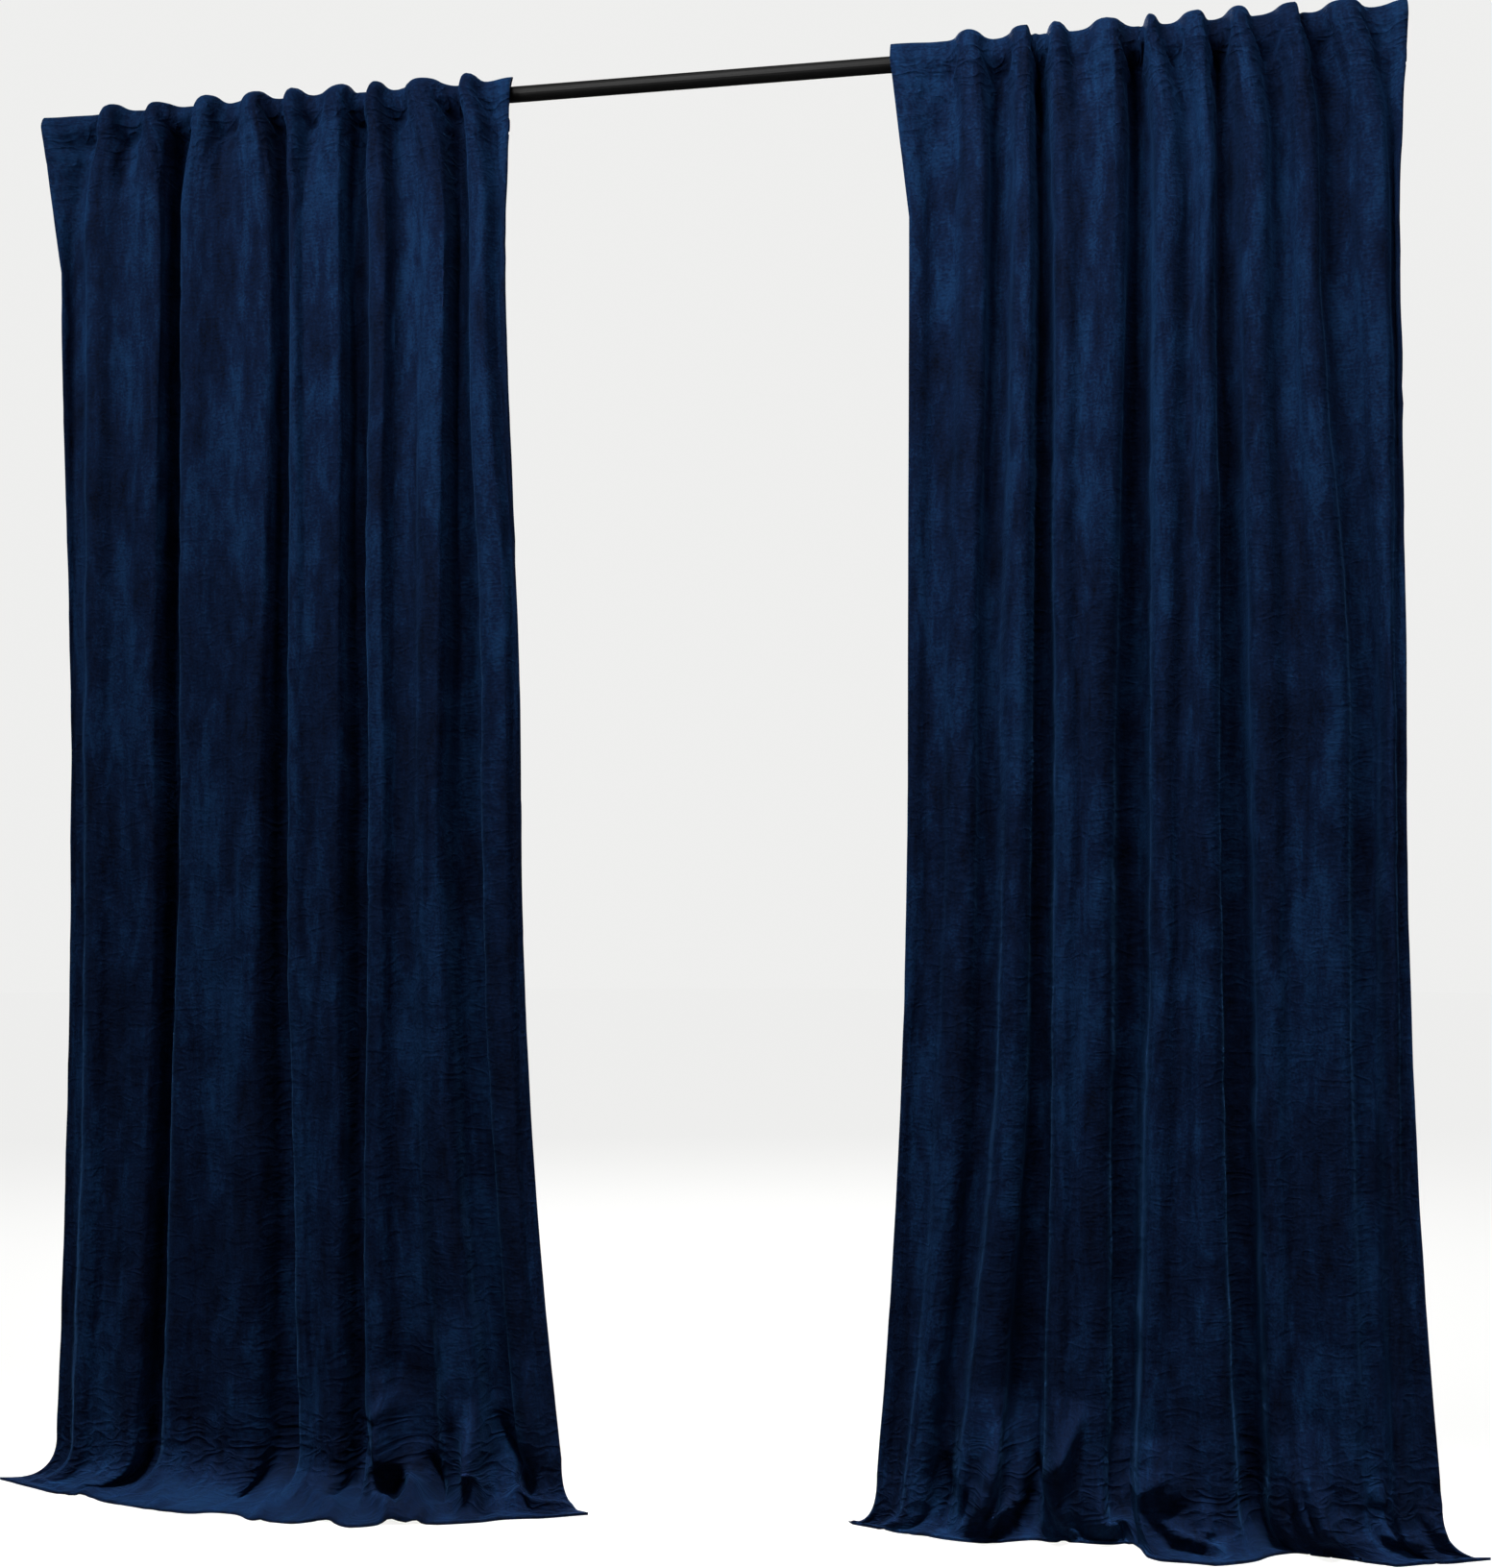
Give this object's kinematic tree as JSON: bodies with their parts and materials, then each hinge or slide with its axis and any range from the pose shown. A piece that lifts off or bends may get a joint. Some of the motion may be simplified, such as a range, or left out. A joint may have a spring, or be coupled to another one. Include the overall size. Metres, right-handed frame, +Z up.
{
  "type": "velvet curtain pair on a curtain rod",
  "caption": "Floor-length velvet curtain pair with sewn rod pockets, gathered in soft uneven folds on one straight round rod, hems spread forward on the floor.",
  "frame": {"origin": "on the rod's axis, midway between the rod's two ends", "axes": "+X along the rod, to the right as seen from the room; the room is on the -Y side; +Z up"},
  "size_m": [2.4113, 0.223, 2.3379],
  "materials": {
    "velvet": "short-pile polyester velvet, navy blue",
    "rod_steel": "satin black powder coat on steel tube"
  },
  "bodies": {
    "root": {"curtain_left": "velvet", "curtain_right": "velvet", "curtain_rod": "rod_steel"}
  },
  "joints": []
}
